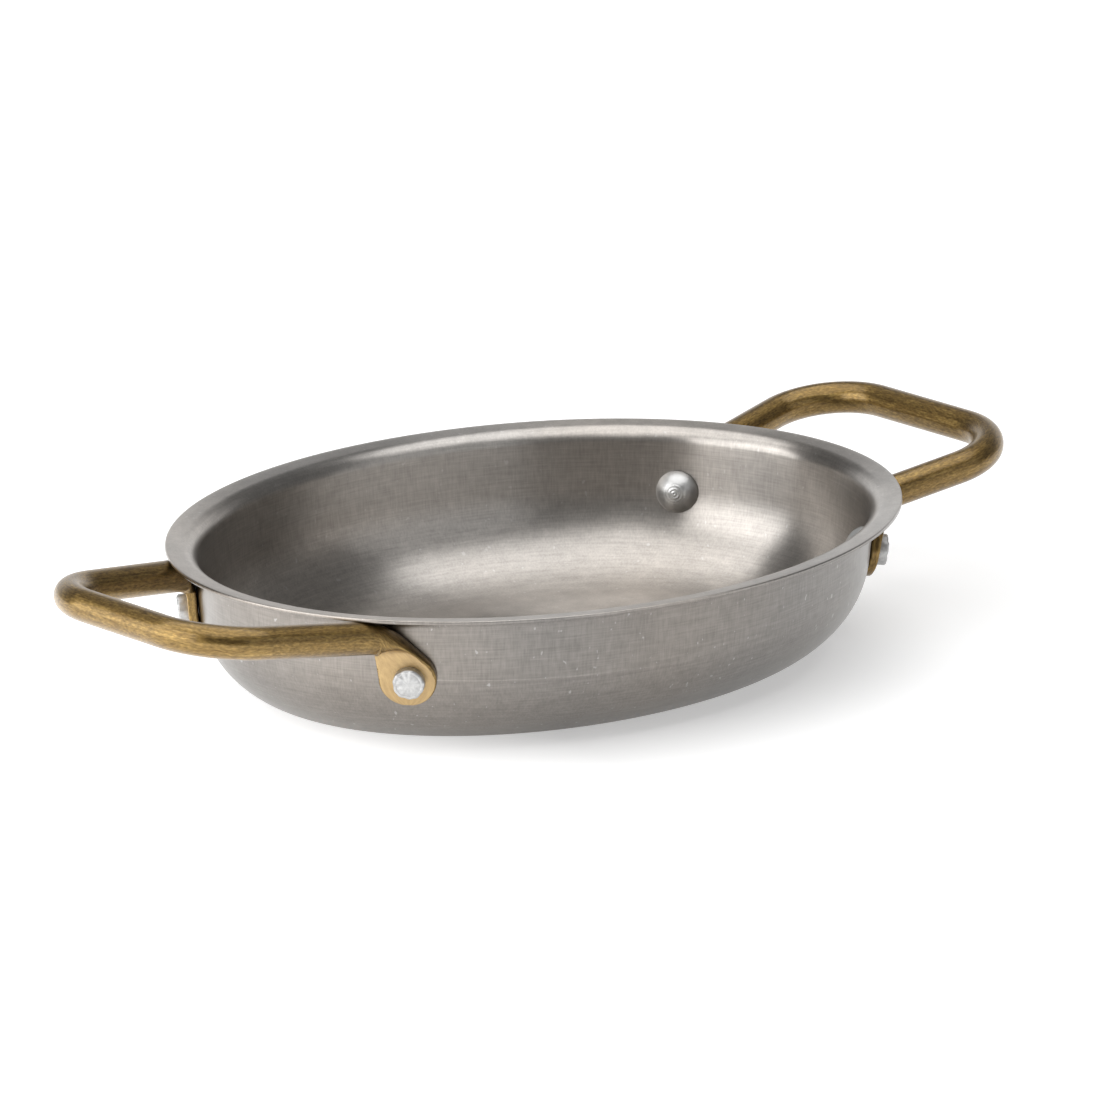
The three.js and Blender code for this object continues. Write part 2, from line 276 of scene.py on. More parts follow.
def dish_section():
    """Points of the outer face from the middle of the base to the lip's edge, and of the inner one back."""
    edge = LIP_EDGE_RADIUS
    bottom_corner = lip_edge_bottom - edge * heading(lip_out) + edge * heading(lip_up)
    top_corner = lip_edge_top - edge * heading(lip_out) - edge * heading(lip_up)
    press_low, press_high = (
        -math.asin(1 - (PRESS_LINE_LEVEL + row) / BASE_RADIUS)
        for row in PRESS_LINE_ROWS
    )
    below, across, above = OUTER_BASE_STEPS
    outer_base = [
        *arc(base_centre, BASE_RADIUS, base_down, press_low, below)[:-1],
        *arc(base_centre, BASE_RADIUS, press_low, press_high, across)[:-1],
        *arc(base_centre, BASE_RADIUS, press_high, wall_out, above),
    ]
    outer_bend = arc(lip_bend_centre, LIP_BEND_RADIUS - SHEET, wall_in, lip_up, OUTER_BEND_STEPS)
    bottom_edge = arc(bottom_corner, edge, lip_up - math.pi, lip_out, LIP_EDGE_STEPS)
    top_edge = arc(top_corner, edge, lip_out, lip_up, LIP_EDGE_STEPS)
    inner_bend = arc(lip_bend_centre, LIP_BEND_RADIUS, lip_up, wall_in, INNER_BEND_STEPS)
    inner_base = arc(base_centre, BASE_RADIUS - SHEET, wall_out, base_down, INNER_BASE_STEPS)
    inner_middle = np.array([0.0, SHEET])
    outer = [
        *line(np.zeros(2), outer_base[0], BASE_FLAT_STEPS),
        *outer_base[:-1],
        *line(outer_base[-1], outer_bend[0], WALL_STEPS),
        *outer_bend[:-1],
        *line(outer_bend[-1], bottom_edge[0], LIP_STEPS),
        *bottom_edge,
    ]
    inner = [
        *top_edge[:-1],
        *line(top_edge[-1], inner_bend[0], LIP_STEPS),
        *inner_bend[:-1],
        *line(inner_bend[-1], inner_base[0], WALL_STEPS),
        *inner_base[:-1],
        *line(inner_base[-1], inner_middle, BASE_FLAT_STEPS),
        inner_middle,
    ]
    return outer, inner


def make_dish(material):
    outer, inner = dish_section()
    section = outer + inner
    vertices, crest = [(0, 0, 0)], [0]
    for row, (reach, height) in enumerate(section[1:-1], 1):
        narrow = 1 - oval_difference / max(reach, base_reach)
        for angle in np.linspace(0, 2 * math.pi, DISH_SEGMENTS, endpoint=False):
            ridge = press_ridge(height, angle) if row < len(outer) else 0
            x, y = (reach + PRESS_LINE_HEIGHT * ridge) * heading(angle)
            vertices.append((x, y * narrow, height))
            crest.append(ridge)
    vertices.append((0, 0, SHEET))
    crest.append(0)
    faces = turned_faces(len(section), DISH_SEGMENTS)
    piece = add_piece("pressed_dish", vertices, faces, material, "dish")
    outside = np.arange(len(vertices)) < 1 + (len(outer) - 1) * DISH_SEGMENTS
    add_attribute(piece, "outside", "FLOAT", "value", outside)
    add_attribute(piece, "crest", "FLOAT", "value", crest)
    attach(piece, "root")


ring_angles = 2 * np.pi * (np.arange(ROD_SIDES) + 0.5) / ROD_SIDES
rod_outline = (np.cos(ring_angles), np.sin(ring_angles))


def lug_outline():
    """Points of a unit oblong with rounded corners, spread evenly over its two faces."""
    side = math.radians(LUG_SIDE)
    folded = np.minimum(ring_angles, 2 * np.pi - ring_angles)
    across = np.clip((np.pi / 2 - folded) / (np.pi / 2 - side), -1, 1)
    through = np.clip(np.minimum(folded, np.pi - folded) / side, 0, 1) * np.sign(np.pi - ring_angles)
    power = LUG_SQUARENESS
    reach = (np.abs(across) ** power + np.abs(through) ** power) ** (1 / power)
    return across / reach, through / reach


def lug_edges(rod_rise):
    """Inner and outer edges of a forged end, on the wall with the rivet at the origin.

    Each pair comes with its way from the rivet to the rod and its share of the full thickness.
    """
    rod_top, rod_bottom = rod_rise + rod_radius, rod_rise - rod_radius
    eye = np.array([-EYE_SHIFT, 0])
    slope = math.radians(90 - LUG_SLOPE)
    slope_foot = eye + lug_radius * heading(slope)
    slope_top = eye + np.array([(lug_radius - rod_top * math.sin(slope)) / math.cos(slope), rod_top])

    def curve(first, corner, last, t):
        return (1 - t) ** 2 * first + 2 * t * (1 - t) * corner + t**2 * last

    def inner(way):
        return (1 - way) * np.array([-EYE_SHIFT - lug_radius, 0]) + way * np.array([-LEG_START, rod_bottom])

    def outer(way):
        if way < EYE_WAY:
            return eye + lug_radius * heading(slope * way / EYE_WAY)
        past_eye = (way - EYE_WAY) / (1 - EYE_WAY)
        return curve(slope_foot, slope_top, np.array([-LEG_START, rod_top]), past_eye)

    edges = []
    for angle in np.radians(np.linspace(EYE_TIP, 0, EYE_RINGS, endpoint=False)):
        half, level = lug_radius * math.cos(angle), -lug_radius * math.sin(angle)
        tip = min(lug_radius * (1 - math.sin(angle)) / LUG_EDGE_RADIUS, 1)
        ends = [eye + np.array([x, level]) for x in (-half, half)]
        edges.append((*ends, 0, math.sqrt(1 - (1 - tip) ** 2)))
    return edges + [(inner(way), outer(way), way, 1) for way in np.linspace(0, 1, LUG_RINGS)]


def lug_rings(seat, rod_rise, rod_through, rod_stand):
    """Rings of a forged end, from the tip of its eye to the round rod.

    Each ring comes with its distance, in millimetres, into the bare front face.
    """
    across, through = lug_outline()
    rings = []
    for inner, outer, way, full in lug_edges(rod_rise):
        middle = (inner + outer) / 2
        width = np.linalg.norm(outer - inner)
        span = (outer - inner) / width
        level = seat.along * span[0] + seat.up * span[1]
        foot = seat.point + seat.along * middle[0] + seat.up * middle[1]

        begun = min(way / RIDGE_START, 1)
        cover = np.interp(way, RIDGE_WAY, RIDGE_COVER) * begun
        rise = np.interp(way, RIDGE_WAY, RIDGE_LIFT) * begun
        ridge = max(width * cover, RIDGE_LEAST_WIDTH)
        from_outer = (1 - across) * width / 2
        from_ridge = from_outer - ridge
        place = np.clip(1 - 2 * from_outer / ridge, -1, 1)
        lift = np.where(through > 0, rise * np.sqrt(1 - place**2), 0)
        stand = LUG_FACE * (through * full + 1) / 2 + lift - fall_back(seat, middle[1])
        plate = foot + np.outer(across * width / 2, level) + np.outer(stand, seat.out)

        rod = foot + seat.out * rod_stand + np.outer(rod_outline[0] * width / 2, level)
        rod = rod + np.outer(rod_outline[1] * rod_radius, rod_through)
        ease = smoothstep(way, *ROD_WAY) * (1 - smoothstep(from_ridge, *RIDGE_FOOT))
        ease = ease[:, None]
        bare = np.minimum(from_ridge, (1 + across) * width / 2 + BARE_SPILL)
        bare = np.minimum(bare, (through - BARE_FACE) * LUG_FACE / 2 * BARE_STEEPNESS)
        rings.append((plate * (1 - ease) + rod * ease, bare))
    return rings


def round_off(rings, bend_at):
    """Rings with the sharp turn at one of them rounded, by averaging each line along the bar."""
    points = np.array([points for points, _ in rings])
    steps = np.linalg.norm(np.diff(points.mean(axis=1), axis=0), axis=1)
    way = np.concatenate([[0], np.cumsum(steps)])
    spacing = np.gradient(way)
    outer_side = (1 + rod_outline[0][:, None]) / 2
    share = BEND_INNER_SHARE + (1 - BEND_INNER_SHARE) * outer_side
    rounded = points.copy()
    for i, place in enumerate(way):
        spread = LUG_BEND * math.exp(-(((place - way[bend_at]) / (BEND_REACH * LUG_BEND)) ** 2))
        if spread > LEAST_SPREAD:
            weight = spacing * np.exp(-0.5 * ((way - place) / spread) ** 2)
            mean = np.tensordot(weight / weight.sum(), points, axes=1)
            rounded[i] += (mean - points[i]) * share
    return [(ring, bare) for ring, (_, bare) in zip(rounded, rings)]


def handle_rings(seat, grip_width):
    """Rings of half a handle on the side of +Y, from the tip of its lug to the middle of the grip."""
    grip_corner = np.array([grip_reach, grip_width / 2, grip_height])
    climb = np.array([math.cos(seat.leg_tilt), 0, math.sin(seat.leg_tilt)])
    loop_up = np.array([-climb[2], 0, climb[0]])
    rod_stand = CLEARANCE + rod_radius * seat.out[1]
    leg_foot = seat.point - seat.along * LEG_START + seat.out * rod_stand
    rod_rise = ((grip_corner - leg_foot) @ loop_up) / (seat.up @ loop_up)
    leg_start = leg_foot + seat.up * rod_rise
    depth = (grip_corner - leg_start) @ climb

    turn = math.radians(90) - math.atan2(leg_start[1] - grip_corner[1], depth)
    trim = GRIP_BEND_RADIUS * math.tan(turn / 2)
    bend_centre = np.array([leg_start[0], grip_corner[1] - trim, leg_start[2]])
    bend_centre = bend_centre + climb * (depth - GRIP_BEND_RADIUS)
    coated = np.full(ROD_SIDES, -1.0)

    def through_at(angle):
        return climb * math.cos(angle) + np.array([0, math.sin(angle), 0])

    def rod_ring(centre, angle):
        offset = np.outer(rod_outline[0], loop_up) + np.outer(rod_outline[1], through_at(angle))
        return centre + rod_radius * offset, coated

    def bend_point(angle):
        return bend_centre + GRIP_BEND_RADIUS * through_at(angle)

    rings = lug_rings(seat, rod_rise, through_at(turn), rod_stand)
    bend_at = len(rings)
    for step in np.linspace(0, 1, LEG_RINGS)[1:-1] ** LEG_CROWDING:
        rings.append(rod_ring(leg_start + (bend_point(turn) - leg_start) * step, turn))
    for angle in np.linspace(turn, 0, GRIP_BEND_RINGS):
        rings.append(rod_ring(bend_point(angle), angle))
    middle = bend_point(0) * np.array([1, 0, 1])
    for centre in line(bend_point(0), middle, GRIP_RINGS)[1:]:
        rings.append(rod_ring(centre, 0))
    return round_off(rings, bend_at)


def make_handle(side, seat, grip_width, turn, material):
    half = handle_rings(seat, grip_width)
    mirror = np.array([1, -1, 1])
    rings = half + [(points * mirror, bare) for points, bare in reversed(half)]
    vertices = np.concatenate([points for points, _ in rings])
    bare = np.concatenate([bare for _, bare in rings])

    # The rod as it lay straight before bending: the grain of its coating follows this
    centres = np.array([points.mean(axis=0) for points, _ in rings])
    length = np.concatenate([[0], np.cumsum(np.linalg.norm(np.diff(centres, axis=0), axis=1))])
    round_rod = rod_radius * np.stack(rod_outline, axis=1)
    grain = np.column_stack([np.repeat(length, ROD_SIDES), np.tile(round_rod, (len(rings), 1))])

    faces = []
    for r in range(len(rings) - 1):
        for i in range(ROD_SIDES):
            here, after = r * ROD_SIDES + i, r * ROD_SIDES + (i + 1) % ROD_SIDES
            faces.append((here, here + ROD_SIDES, after + ROD_SIDES, after))
    faces.append(tuple(range(ROD_SIDES)))
    faces.append(tuple(reversed(range(len(vertices) - ROD_SIDES, len(vertices)))))

    vertices = vertices @ np.array(Matrix.Rotation(turn, 3, "Z")).T
    piece = add_piece(f"{side}_loop_handle", vertices, faces, material, f"{side}_handle")
    add_attribute(piece, "bare", "FLOAT", "value", bare)
    add_attribute(piece, "grain", "FLOAT_VECTOR", "vector", grain)
    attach(piece, "root")


def rivet_section():
    """Points of a rivet's section: distance from its axis, and distance out of the wall."""
    head_radius, shank_radius, tail_radius = HEAD_DIAMETER / 2, SHANK_DIAMETER / 2, TAIL_DIAMETER / 2
    seat = -SHEET - HEAD_GAP
    dome_height = HEAD_HEIGHT - HEAD_EDGE
    dome_radius = (head_radius**2 + dome_height**2) / (2 * dome_height)
    dome_centre = np.array([0, seat - HEAD_HEIGHT + dome_radius])
    dome_edge = -math.acos(head_radius / dome_radius)
    dome = arc(dome_centre, dome_radius, base_down, dome_edge, DOME_STEPS)

    # Rings left by turning the crown of the head
    for point in dome:
        crown = 1 - smoothstep(point[0], *TURNED_CROWN)
        point[1] += TURNED_RING_HEIGHT * crown * math.cos(2 * math.pi * point[0] / TURNED_RING_SPACING)

    tail_end = LUG_FACE + TAIL_LENGTH
    tail_corner = np.array([tail_radius, tail_end]) - TAIL_EDGE_RADIUS
    narrowing, foot_height = TAIL_FOOT
    return [
        *dome,
        np.array([head_radius, seat]),
        np.array([shank_radius, seat]),
        np.array([shank_radius, LUG_FACE]),
        np.array([tail_radius - narrowing, LUG_FACE]),
        np.array([tail_radius, LUG_FACE + foot_height]),
        *arc(tail_corner, TAIL_EDGE_RADIUS, 0, math.pi / 2, TAIL_EDGE_STEPS),
        *[np.array([tail_radius * part, tail_end + rise]) for part, rise in TAIL_FACE],
    ]


def make_rivet(face, side, seat, quarter, material):
    section = rivet_section()
    vertices = [(0, 0, section[0][1])]
    for reach, out in section[1:-1]:
        uneven = TAIL_UNEVENNESS * smoothstep(out, LUG_FACE, LUG_FACE + TAIL_LENGTH)
        for angle in 2 * np.pi * np.arange(RIVET_SEGMENTS) / RIVET_SEGMENTS:
            dents = sum(share * math.sin(waves * angle + shift) for waves, shift, share in TAIL_DENTS)
            dented = 1 + uneven * dents
            x, y = reach * dented * heading(angle)
            vertices.append((x, y, out + reach * (dented - 1)))
    vertices.append((0, 0, section[-1][1]))
    faces = turned_faces(len(section), RIVET_SEGMENTS)
    name = f"{face}_{side}_rivet"
    piece = add_piece(f"{name}_set", vertices, faces, material, name)
    piece.data.set_sharp_from_angle(angle=math.radians(SHARP_EDGE))
    axis = Vector(seat.out * quarter)
    turn = axis.to_track_quat("Z", "Y").to_matrix().to_4x4()
    piece.matrix_world = Matrix.Translation(seat.point * quarter * MM) @ turn
    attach(piece, "root")


# Materials
def fill(tree, node, inputs):
    """Set a node's inputs to values, or link them to sockets."""
    for key, value in inputs.items():
        if isinstance(value, bpy.types.NodeSocket):
            tree.links.new(value, node.inputs[key])
        else:
            node.inputs[key].default_value = value


def add_node(tree, kind, inputs=None, **settings):
    made = tree.nodes.new(kind)
    for key, value in settings.items():
        setattr(made, key, value)
    fill(tree, made, inputs or {})
    return made


def new_material(name):
    material = bpy.data.materials.new(name)
    material.use_nodes = True
    tree = material.node_tree
    return material, tree, tree.nodes["Principled BSDF"]


def place_on(tree):
    """Place on a piece, in metres."""
    return add_node(tree, "ShaderNodeTexCoord").outputs["Object"]


def read_attribute(tree, name, output="Fac"):
    return add_node(tree, "ShaderNodeAttribute", attribute_name=name).outputs[output]


def split(tree, vector):
    return add_node(tree, "ShaderNodeSeparateXYZ", {"Vector": vector}).outputs


def scaled(tree, vector, scale):
    return add_node(tree, "ShaderNodeMapping", {"Vector": vector, "Scale": scale}).outputs["Vector"]


def noise(tree, vector, scale=1.0, detail=2.0, roughness=0.5):
    inputs = {"Vector": vector, "Scale": scale, "Detail": detail, "Roughness": roughness}
    return add_node(tree, "ShaderNodeTexNoise", inputs).outputs["Fac"]


def remap(tree, value, low, high, to_low, to_high):
    inputs = {"Value": value, "From Min": low, "From Max": high, "To Min": to_low, "To Max": to_high}
    return add_node(tree, "ShaderNodeMapRange", inputs).outputs["Result"]


def maths(tree, operation, first, second):
    return add_node(tree, "ShaderNodeMath", {0: first, 1: second}, operation=operation).outputs["Value"]


def dot(tree, vector, direction):
    inputs = {0: vector, 1: direction}
    return add_node(tree, "ShaderNodeVectorMath", inputs, operation="DOT_PRODUCT").outputs["Value"]


def mix_colour(tree, share, first, second, blend="MIX"):
    inputs = {"Factor": share, 6: first, 7: second}
    made = add_node(tree, "ShaderNodeMix", inputs, data_type="RGBA", blend_type=blend)
    return made.outputs[2]


def multiplied(tree, colour, factor):
    return mix_colour(tree, 1.0, colour, factor, "MULTIPLY")


def ramp(tree, value, stops):
    made = add_node(tree, "ShaderNodeValToRGB", {"Fac": value})
    elements = made.color_ramp.elements
    while len(elements) < len(stops):
        elements.new(0.5)
    for element, (position, colour) in zip(elements, stops):
        element.position = position
        element.color = (*colour, 1)
    return made.outputs["Color"]


def bump(tree, height, depth, strength, normal=None):
    inputs = {"Height": height, "Distance": depth * MM, "Strength": strength}
    if normal is not None:
        inputs["Normal"] = normal
    return add_node(tree, "ShaderNodeBump", inputs).outputs["Normal"]


# Values of a noise that a material spreads over a range of its own
NOISE_SPAN = (0.3, 0.7)
NARROW_SPAN = (0.35, 0.65)
BRUSHING_SPAN = (0.7, 1.3)  # of two noises added up

# Steel: waves of its noises per metre, then colours, tones, roughness, and depth and strength of its bump
LEVEL_BRUSHING = (130, 130, 3200)
UPRIGHT_BRUSHING = (2700, 2700, 150)
STEEL_CLOUDS = 40
STEEL_MOTTLE = 420
STEEL_TINTS = 16
STEEL_NICKS = (900, 900, 600)
WARM_STEEL = (0.42, 0.384, 0.348, 1)
COOL_STEEL = (0.406, 0.387, 0.367, 1)
NICK_COLOUR = (0.62, 0.61, 0.6, 1)
NICK_SPAN = (0.72, 0.77)
NICK_SHARE = 0.4
OUTSIDE_PAINTED_SHADE = 0.6  # painted shade on the outer face, as part of the tone inside
BRUSHING_TONE = (0.86, 1.14)
MOTTLE_TONE = (0.94, 1.06)
PRESS_LINE_PAINTED_LIGHT = (0.74, 1.26)  # painted shade in the groove and painted highlight on the ridge of the press line
STEEL_ROUGHNESS = (0.285, 0.31)
BRUSHING_ROUGHNESS = (-0.004, 0.004)
BASE_ROUGHNESS = 0.11  # added on the flat of the base
BASE_RISE = (1 * MM, 4 * MM)  # heights over which that ends
STEEL_BUMP = (0.15, 0.5)


def round_oval(tree, x, y):
    """Direction of the brushing, round the oval about a line along its middle."""
    half_line = BRUSHED_LINE / 2 * MM
    nearest = add_node(tree, "ShaderNodeClamp", {"Value": x, "Min": -half_line, "Max": half_line})
    past_end = maths(tree, "SUBTRACT", x, nearest.outputs["Result"])
    to_left = maths(tree, "MULTIPLY", y, -1.0)
    return add_node(tree, "ShaderNodeCombineXYZ", {"X": to_left, "Y": past_end}).outputs["Vector"]


def steel():
    """Satin sheet: fine level and upright brushing, cloudy tone, small pale nicks, painted shade on the
    outer face, and a painted highlight and shade along the press line.
    """
    material, tree, shader = new_material("satin_steel")
    place = place_on(tree)
    x, y, height = split(tree, place)
    level = noise(tree, scaled(tree, place, LEVEL_BRUSHING), detail=3)
    upright = noise(tree, scaled(tree, place, UPRIGHT_BRUSHING), detail=3)
    brushing = maths(tree, "ADD", level, upright)
    clouds = noise(tree, place, STEEL_CLOUDS, detail=4)
    mottle = noise(tree, place, STEEL_MOTTLE, detail=3)
    tints = noise(tree, place, STEEL_TINTS, detail=1)
    nicks = noise(tree, scaled(tree, place, STEEL_NICKS), detail=1)

    tone = mix_colour(tree, remap(tree, tints, *NARROW_SPAN, 0, 1), WARM_STEEL, COOL_STEEL)
    # Painted shade: the outer face is darker than the inside
    tone = multiplied(tree, tone, remap(tree, read_attribute(tree, "outside"), 0, 1, 1, OUTSIDE_PAINTED_SHADE))
    tone = multiplied(tree, tone, remap(tree, brushing, *BRUSHING_SPAN, *BRUSHING_TONE))
    tone = multiplied(tree, tone, remap(tree, mottle, *NOISE_SPAN, *MOTTLE_TONE))
    # Painted highlight on the press line's ridge and painted shade in its groove
    tone = multiplied(tree, tone, remap(tree, read_attribute(tree, "crest"), -1, 1, *PRESS_LINE_PAINTED_LIGHT))
    tone = mix_colour(tree, remap(tree, nicks, *NICK_SPAN, 0, NICK_SHARE), tone, NICK_COLOUR)

    rough = remap(tree, clouds, *NOISE_SPAN, *STEEL_ROUGHNESS)
    rough = maths(tree, "ADD", rough, remap(tree, brushing, *BRUSHING_SPAN, *BRUSHING_ROUGHNESS))
    rough = maths(tree, "ADD", rough, remap(tree, height, *BASE_RISE, BASE_ROUGHNESS, 0))
    normal = bump(tree, clouds, *STEEL_BUMP)
    tangent = round_oval(tree, x, y)
    fill(tree, shader, {"Base Color": tone, "Roughness": rough, "Normal": normal, "Tangent": tangent})
    fill(tree, shader, {"Metallic": 1, "Anisotropic": 0.78, "Anisotropic Rotation": 0.25})
    return material


# Brass: waves of its noises per millimetre of the straight rod, then the same as for steel
BRASS_STREAKS = (0.05, 1.5, 1.5)
BRASS_MOTTLE = (0.4, 1.5, 1.5)
BRASS_SPECKS = (1.1, 3.2, 3.2)
STREAK_SHARE = 0.45  # of the patina, beside the mottle
PATINA = [
    (0.3, (0.125, 0.073, 0.021)),
    (0.44, (0.175, 0.108, 0.032)),
    (0.56, (0.25, 0.161, 0.05)),
    (0.7, (0.36, 0.244, 0.084)),
]
SPECK_TONE = (0.62, 1.38)
PRESSED_DARK = (0.43, 0.3, 0.148, 1)
PRESSED_LIGHT = (0.545, 0.39, 0.19, 1)
WORN_EDGE = 0.2  # millimetres into the bare face over which the coating ends
WORN_RAGGEDNESS = (-0.12, 0.12)
COATING_ROUGHNESS = (0.3, 0.42)
PRESSED_ROUGHNESS = 0.55
MOTTLE_BUMP = (0.06, 0.5)
SPECK_BUMP = (0.02, 0.5)


def brass():
    """Aged coating, mottled and streaked along the bar, with a bare pressed face on each lug."""
    material, tree, shader = new_material("aged_brass")
    grain = read_attribute(tree, "grain", "Vector")
    streaks = noise(tree, scaled(tree, grain, BRASS_STREAKS), detail=4, roughness=0.6)
    mottle = noise(tree, scaled(tree, grain, BRASS_MOTTLE), detail=6, roughness=0.7)
    specks = noise(tree, scaled(tree, grain, BRASS_SPECKS), detail=3)

    streaked = maths(tree, "MULTIPLY", streaks, STREAK_SHARE)
    mottled = maths(tree, "MULTIPLY", mottle, 1 - STREAK_SHARE)
    coating = ramp(tree, maths(tree, "ADD", streaked, mottled), PATINA)
    coating = multiplied(tree, coating, remap(tree, specks, *NOISE_SPAN, *SPECK_TONE))
    pressed = mix_colour(tree, remap(tree, mottle, *NARROW_SPAN, 0, 1), PRESSED_DARK, PRESSED_LIGHT)
    ragged = remap(tree, specks, *NOISE_SPAN, *WORN_RAGGEDNESS)
    worn = remap(tree, maths(tree, "ADD", read_attribute(tree, "bare"), ragged), 0, WORN_EDGE, 0, 1)
    tone = mix_colour(tree, worn, coating, pressed)

    rough = remap(tree, mottle, *NOISE_SPAN, *COATING_ROUGHNESS)
    rough = add_node(tree, "ShaderNodeMix", {"Factor": worn, 2: rough, 3: PRESSED_ROUGHNESS}).outputs[0]
    normal = bump(tree, specks, *SPECK_BUMP, bump(tree, mottle, *MOTTLE_BUMP))
    fill(tree, shader, {"Base Color": tone, "Roughness": rough, "Normal": normal})
    fill(tree, shader, {"Metallic": 0.95, "Coat Weight": 0.4, "Coat Roughness": 0.15})
    return material


# Aluminium: the same as for steel, with colours in pairs
RIVET_DENTS = 900
RIVET_GRIT = 5000
RIVET_BLOTCHES = 1300
TAIL_SIDE = 0.5 * MM  # out of the wall, where the finish of the tail begins
HEAD_COLOURS = ((0.5, 0.5, 0.495, 1), (0.58, 0.58, 0.57, 1))
TAIL_COLOURS = ((0.44, 0.44, 0.44, 1), (0.55, 0.55, 0.545, 1))
RIVET_ROUGHNESS = (0.4, 0.5)  # of the head and of the tail
GRIT_ROUGHNESS = (-0.04, 0.04)
HEAD_DENTS = 0.15  # their depth, as part of the tail's
DENT_BUMP = (0.15, 0.5)
GRIT_BUMP = (0.01, 0.4)


def aluminium():
    """Bright turned head inside, and a pale hammered tail outside."""
    material, tree, shader = new_material("rivet_aluminium")
    place = place_on(tree)
    tail = remap(tree, split(tree, place)["Z"], 0, TAIL_SIDE, 0, 1)
    dents = noise(tree, place, RIVET_DENTS, detail=2)
    grit = noise(tree, place, RIVET_GRIT, detail=2)
    blotches = remap(tree, noise(tree, place, RIVET_BLOTCHES, detail=2), *NARROW_SPAN, 0, 1)
    head_tone = mix_colour(tree, dents, *HEAD_COLOURS)
    tail_tone = mix_colour(tree, blotches, *TAIL_COLOURS)
    tone = mix_colour(tree, tail, head_tone, tail_tone)

    rough = remap(tree, tail, 0, 1, *RIVET_ROUGHNESS)
    rough = maths(tree, "ADD", rough, remap(tree, grit, *NOISE_SPAN, *GRIT_ROUGHNESS))
    hammered = maths(tree, "MULTIPLY", dents, remap(tree, tail, 0, 1, HEAD_DENTS, 1))
    normal = bump(tree, grit, *GRIT_BUMP, bump(tree, hammered, *DENT_BUMP))
    fill(tree, shader, {"Base Color": tone, "Roughness": rough, "Normal": normal, "Metallic": 1})
    return material


steel_sheet, aged_brass, rivet_metal = steel(), brass(), aluminium()
make_dish(steel_sheet)
sides = [
    ("left", -1, rivet_seat(LEFT_RIVET_SPACING), LEFT_GRIP_WIDTH),
    ("right", 1, rivet_seat(RIGHT_RIVET_SPACING), RIGHT_GRIP_WIDTH),
]
for side, sign, seat, grip_width in sides:
    make_handle(side, seat, grip_width, math.pi if sign < 0 else 0, aged_brass)
    for face, across in (("front", -1), ("back", 1)):
        make_rivet(face, side, seat, np.array([sign, across, 1]), rivet_metal)


# Stage, in metres. Each range of distances, cosines or sines is the edge of a soft zone.
WHITE = (1, 1, 1, 1)
FLOOR_SIZE = 8.0
FLOOR_COLOUR = (0.75, 0.75, 0.75, 1)
FLOOR_GLOW = 0.4
FAR_FLOOR_GLOW = 0.66
FAR_FLOOR = (0.15, 0.4)  # from the dish
LIT_FLOOR_GLOW = 1.0
LIT_FLOOR = (0.02, 0.11)  # toward the lit side
LIT_SIDE = (-0.977, 0.215, 0)
ROOM_LIGHT = 0.17
BACKDROP_LIGHT = 1.0
BACKDROP_SIDE = (0.673, 0.740, 0)
BACKDROP_EDGE = (0.55, 0.85)  # cosines from its side
BACKDROP_TOP = (0.3, 0.48)  # sines of the elevation

# Name, place, aim, size and power of each lamp
SOFTBOXES = [
    ("overhead", (0, 0, 1.0), (0, 0, 0), (1.42, 1.42), 11.8),
    ("left_panel", (-0.41, 0.09, 0.23), (0, 0, 0.23), (0.5, 0.45), 2.05),
    ("right_card", (0.3, -0.95, 0.36), (0, 0, 0.36), (1.0, 0.7), 1.1),
]


def shown_white(tree):
    """1 for rays of the camera, of reflections and of transmission, which see a white floor."""
    path = add_node(tree, "ShaderNodeLightPath").outputs
    seen = maths(tree, "MAXIMUM", path["Is Camera Ray"], path["Is Glossy Ray"])
    return maths(tree, "MAXIMUM", seen, path["Is Transmission Ray"])


def make_floor():
    half = FLOOR_SIZE / 2
    mesh = bpy.data.meshes.new("floor")
    corners = [(-half, -half, 0), (half, -half, 0), (half, half, 0), (-half, half, 0)]
    mesh.from_pydata(corners, [], [(0, 1, 2, 3)])
    floor = bpy.data.objects.new("floor", mesh)
    bpy.context.scene.collection.objects.link(floor)
    material, tree, shader = new_material("white_floor")
    mesh.materials.append(material)
    place = place_on(tree)
    distance = add_node(tree, "ShaderNodeVectorMath", {0: place}, operation="LENGTH").outputs["Value"]
    far_glow = remap(tree, distance, *FAR_FLOOR, FLOOR_GLOW, FAR_FLOOR_GLOW)
    lit_glow = remap(tree, dot(tree, place, LIT_SIDE), *LIT_FLOOR, FLOOR_GLOW, LIT_FLOOR_GLOW)
    glow = maths(tree, "MULTIPLY", shown_white(tree), maths(tree, "MAXIMUM", far_glow, lit_glow))
    fill(tree, shader, {"Base Color": FLOOR_COLOUR, "Roughness": 0.9, "Specular IOR Level": 0.1})
    fill(tree, shader, {"Emission Color": WHITE, "Emission Strength": glow})


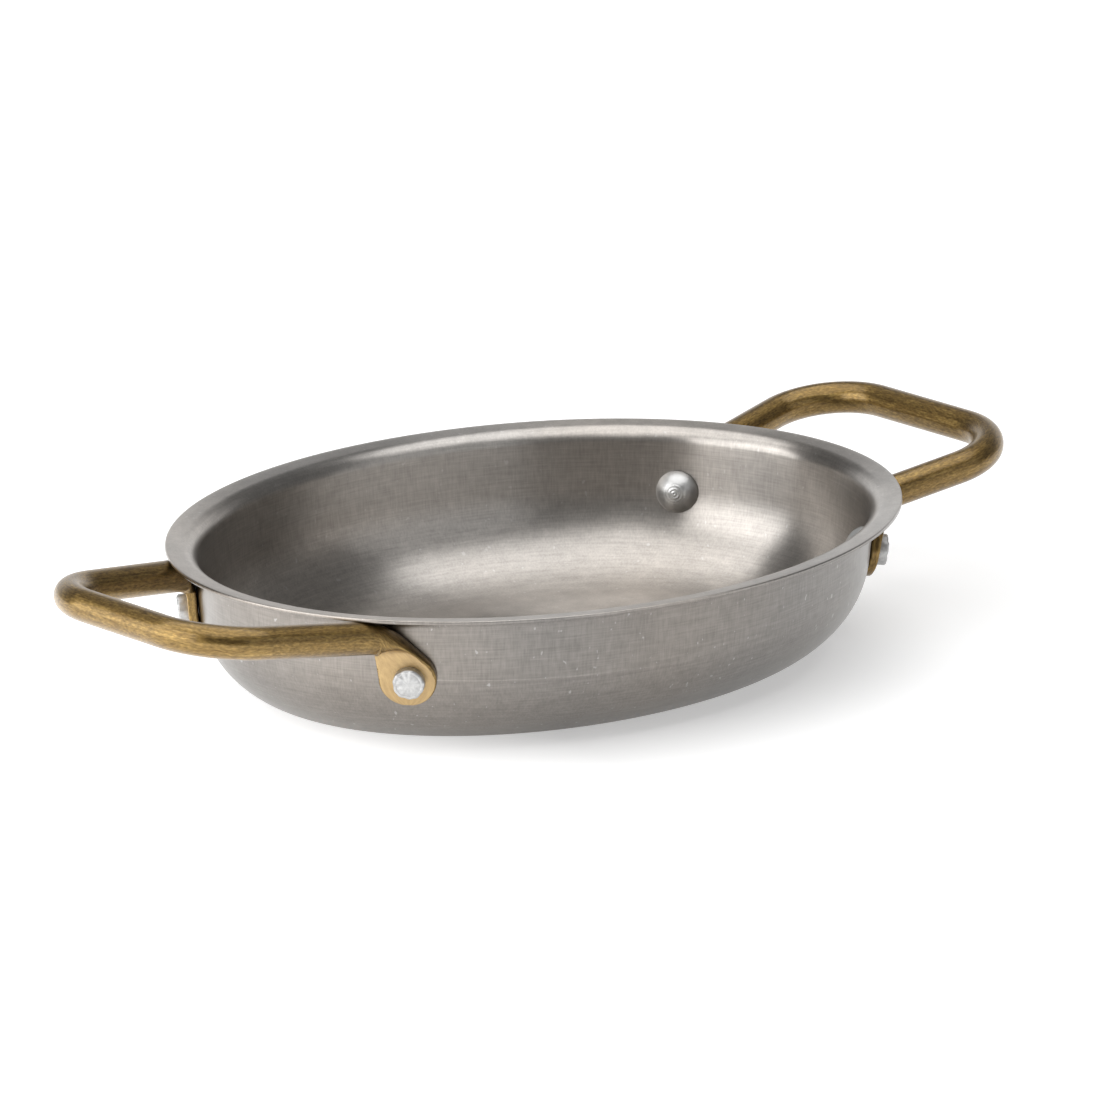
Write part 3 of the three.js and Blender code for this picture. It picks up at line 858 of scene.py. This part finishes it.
def make_world():
    """A dim room with a white backdrop behind the dish."""
    world = bpy.data.worlds.new("studio")
    bpy.context.scene.world = world
    world.use_nodes = True
    tree = world.node_tree
    toward = add_node(tree, "ShaderNodeTexCoord").outputs["Generated"]
    behind = remap(tree, dot(tree, toward, BACKDROP_SIDE), *BACKDROP_EDGE, 0, 1)
    low = remap(tree, split(tree, toward)["Z"], *BACKDROP_TOP, 1, 0)
    backdrop = maths(tree, "MULTIPLY", behind, low)
    strength = remap(tree, backdrop, 0, 1, ROOM_LIGHT, BACKDROP_LIGHT)
    fill(tree, tree.nodes["Background"], {"Color": WHITE, "Strength": strength})


def make_softbox(name, place, aim, size, power):
    lamp = bpy.data.lights.new(name, "AREA")
    lamp.shape = "RECTANGLE"
    lamp.size, lamp.size_y = size
    lamp.energy = power
    softbox = bpy.data.objects.new(name, lamp)
    softbox.visible_camera = False
    bpy.context.scene.collection.objects.link(softbox)
    softbox.location = place
    softbox.rotation_euler = (Vector(aim) - Vector(place)).to_track_quat("-Z", "Y").to_euler()


# Camera of the photograph: its direction, and where the middle of the rim's plane lies in the picture
PHOTO_SIZE = 1100
RIM_MIDDLE_PIXEL = (536.1, 517.0)
FOCAL_PIXELS = 12000
CAMERA_AZIMUTH = -42.27
CAMERA_ELEVATION = 16.42
CAMERA_DISTANCE = 2443.1 * MM
SENSOR = 36


def make_camera():
    turn, rise = math.radians(CAMERA_AZIMUTH), math.radians(CAMERA_ELEVATION)
    back = Vector((math.sin(turn) * math.cos(rise), -math.cos(turn) * math.cos(rise), math.sin(rise)))
    right = Vector((math.cos(turn), math.sin(turn), 0))
    up = back.cross(right)
    rim_middle = Vector((0, 0, DISH_HEIGHT * MM))
    per_pixel = CAMERA_DISTANCE / FOCAL_PIXELS
    to_right, to_bottom = (PHOTO_SIZE / 2 - pixel for pixel in RIM_MIDDLE_PIXEL)
    aim = rim_middle + right * to_right * per_pixel - up * to_bottom * per_pixel

    data = bpy.data.cameras.new("camera")
    data.sensor_width = SENSOR
    data.lens = SENSOR * FOCAL_PIXELS / PHOTO_SIZE
    camera = bpy.data.objects.new("camera", data)
    bpy.context.scene.collection.objects.link(camera)
    camera.location = rim_middle + back * CAMERA_DISTANCE
    camera.rotation_euler = (aim - camera.location).to_track_quat("-Z", "Y").to_euler()
    bpy.context.scene.camera = camera


make_floor()
make_world()
for softbox in SOFTBOXES:
    make_softbox(*softbox)
make_camera()
bpy.context.scene.view_settings.view_transform = "Standard"
